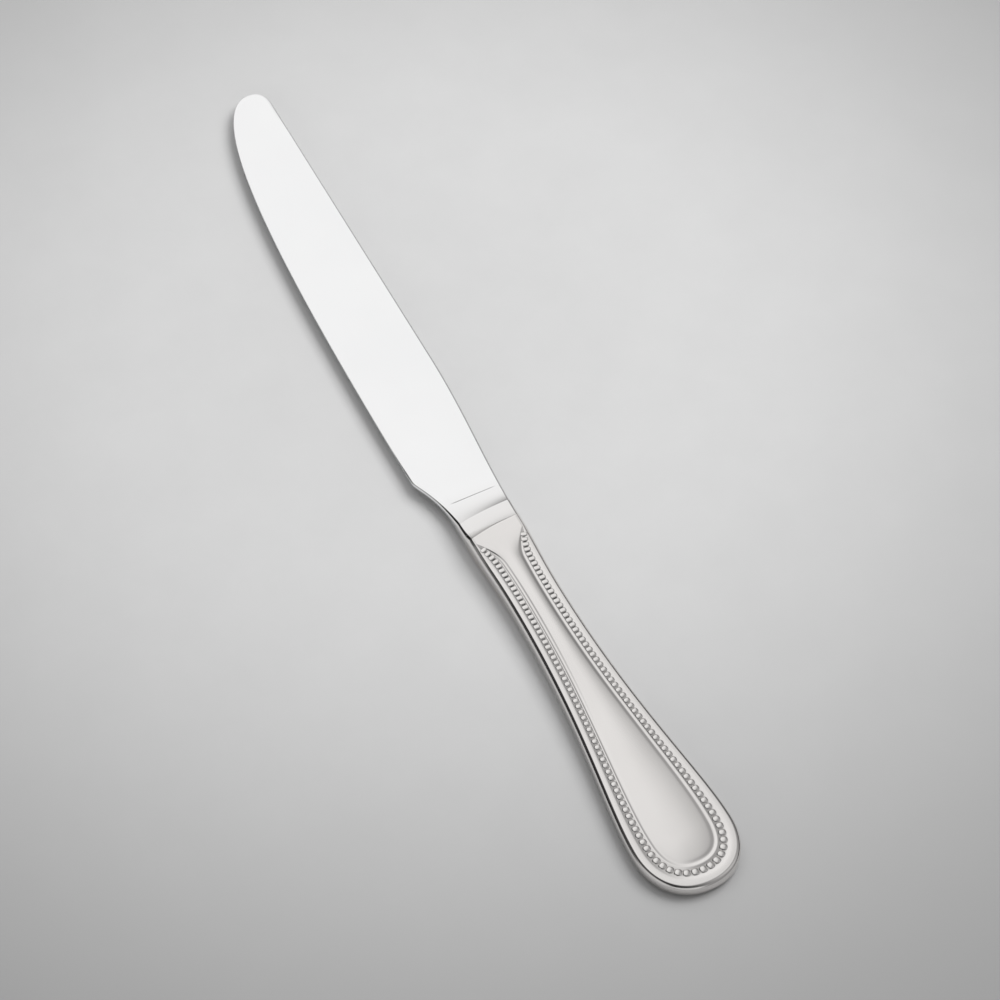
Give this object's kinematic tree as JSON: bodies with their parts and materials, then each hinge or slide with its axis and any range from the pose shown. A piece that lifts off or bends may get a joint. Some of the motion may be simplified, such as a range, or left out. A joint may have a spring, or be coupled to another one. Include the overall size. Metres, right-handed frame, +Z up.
{
  "type": "table knife",
  "caption": "Table knife with a round-ended blade, a stepped bolster and a solid flared handle bordered with beads on both faces.",
  "frame": {"origin": "middle of the box round the knife, at the height of the table that its back face rests on", "axes": "+X along the knife towards the tip of the blade, +Y across it towards the cutting edge, +Z up from the table"},
  "size_m": [0.23, 0.022, 0.0052],
  "materials": {
    "handle_steel": "stainless steel, softly polished, a little warmer than the blade",
    "blade_steel": "hardened stainless steel, polished",
    "braze_metal": "brazing filler, dull, set back in the joint"
  },
  "bodies": {
    "root": {"handle": "handle_steel", "blade": "blade_steel", "braze": "braze_metal"}
  },
  "joints": []
}
